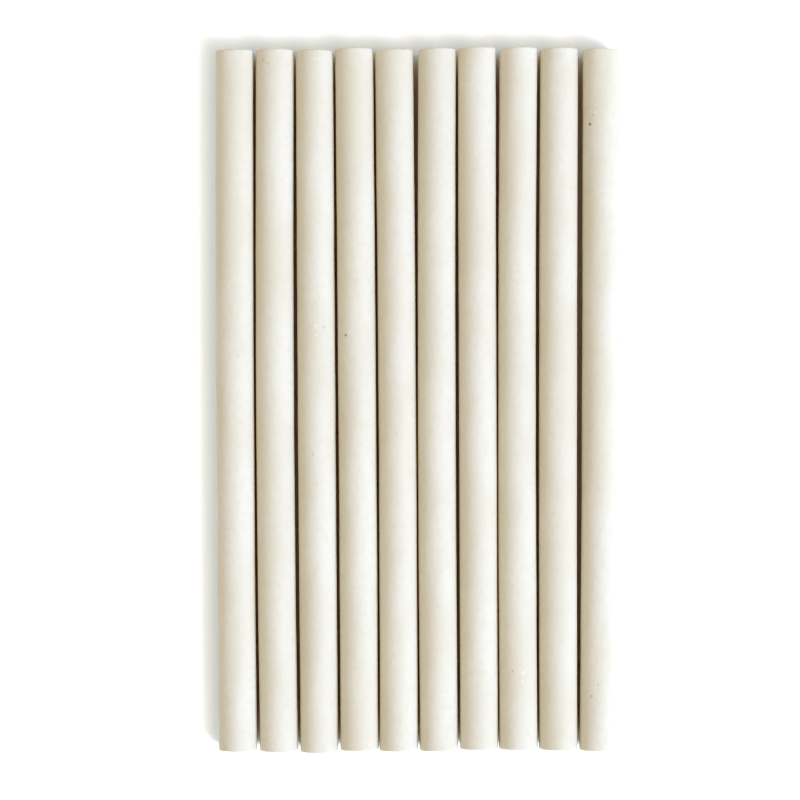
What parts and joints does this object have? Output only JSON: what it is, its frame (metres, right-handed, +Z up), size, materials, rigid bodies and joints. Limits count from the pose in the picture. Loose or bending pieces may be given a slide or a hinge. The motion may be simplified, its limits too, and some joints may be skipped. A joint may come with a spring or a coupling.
{
  "type": "blending stump set",
  "caption": "Loose row of blunt cylindrical blending stumps, each a strip of soft off-white paper wound tight and pasted along its edge, for smudging charcoal and pastel.",
  "frame": {"origin": "middle of the row of stumps, on the surface that they lie on", "axes": "+Y along the stumps towards their far ends, +X across the row towards the last stump, +Z up"},
  "size_m": [0.081, 0.1406, 0.0079],
  "materials": {
    "paper": "matte",
    "paste": "matte"
  },
  "bodies": {
    "stump_01": {"stump_01_paper": "paper", "stump_01_paste": "paste"},
    "stump_02": {"stump_02_paper": "paper", "stump_02_paste": "paste"},
    "stump_03": {"stump_03_paper": "paper", "stump_03_paste": "paste"},
    "stump_04": {"stump_04_paper": "paper", "stump_04_paste": "paste"},
    "stump_05": {"stump_05_paper": "paper", "stump_05_paste": "paste"},
    "stump_06": {"stump_06_paper": "paper", "stump_06_paste": "paste"},
    "stump_07": {"stump_07_paper": "paper", "stump_07_paste": "paste"},
    "stump_08": {"stump_08_paper": "paper", "stump_08_paste": "paste"},
    "stump_09": {"stump_09_paper": "paper", "stump_09_paste": "paste"},
    "stump_10": {"stump_10_paper": "paper", "stump_10_paste": "paste"}
  },
  "joints": [
    {"name": "stump_02_lift", "type": "slide", "parent": "stump_01", "child": "stump_02", "axis": [0, 0, 1], "range_m": [0, 0.05]},
    {"name": "stump_03_lift", "type": "slide", "parent": "stump_01", "child": "stump_03", "axis": [0, 0, 1], "range_m": [0, 0.05]},
    {"name": "stump_04_lift", "type": "slide", "parent": "stump_01", "child": "stump_04", "axis": [0, 0, 1], "range_m": [0, 0.05]},
    {"name": "stump_05_lift", "type": "slide", "parent": "stump_01", "child": "stump_05", "axis": [0, 0, 1], "range_m": [0, 0.05]},
    {"name": "stump_06_lift", "type": "slide", "parent": "stump_01", "child": "stump_06", "axis": [0, 0, 1], "range_m": [0, 0.05]},
    {"name": "stump_07_lift", "type": "slide", "parent": "stump_01", "child": "stump_07", "axis": [0, 0, 1], "range_m": [0, 0.05]},
    {"name": "stump_08_lift", "type": "slide", "parent": "stump_01", "child": "stump_08", "axis": [0, 0, 1], "range_m": [0, 0.05]},
    {"name": "stump_09_lift", "type": "slide", "parent": "stump_01", "child": "stump_09", "axis": [0, 0, 1], "range_m": [0, 0.05]},
    {"name": "stump_10_lift", "type": "slide", "parent": "stump_01", "child": "stump_10", "axis": [0, 0, 1], "range_m": [0, 0.05]}
  ]
}
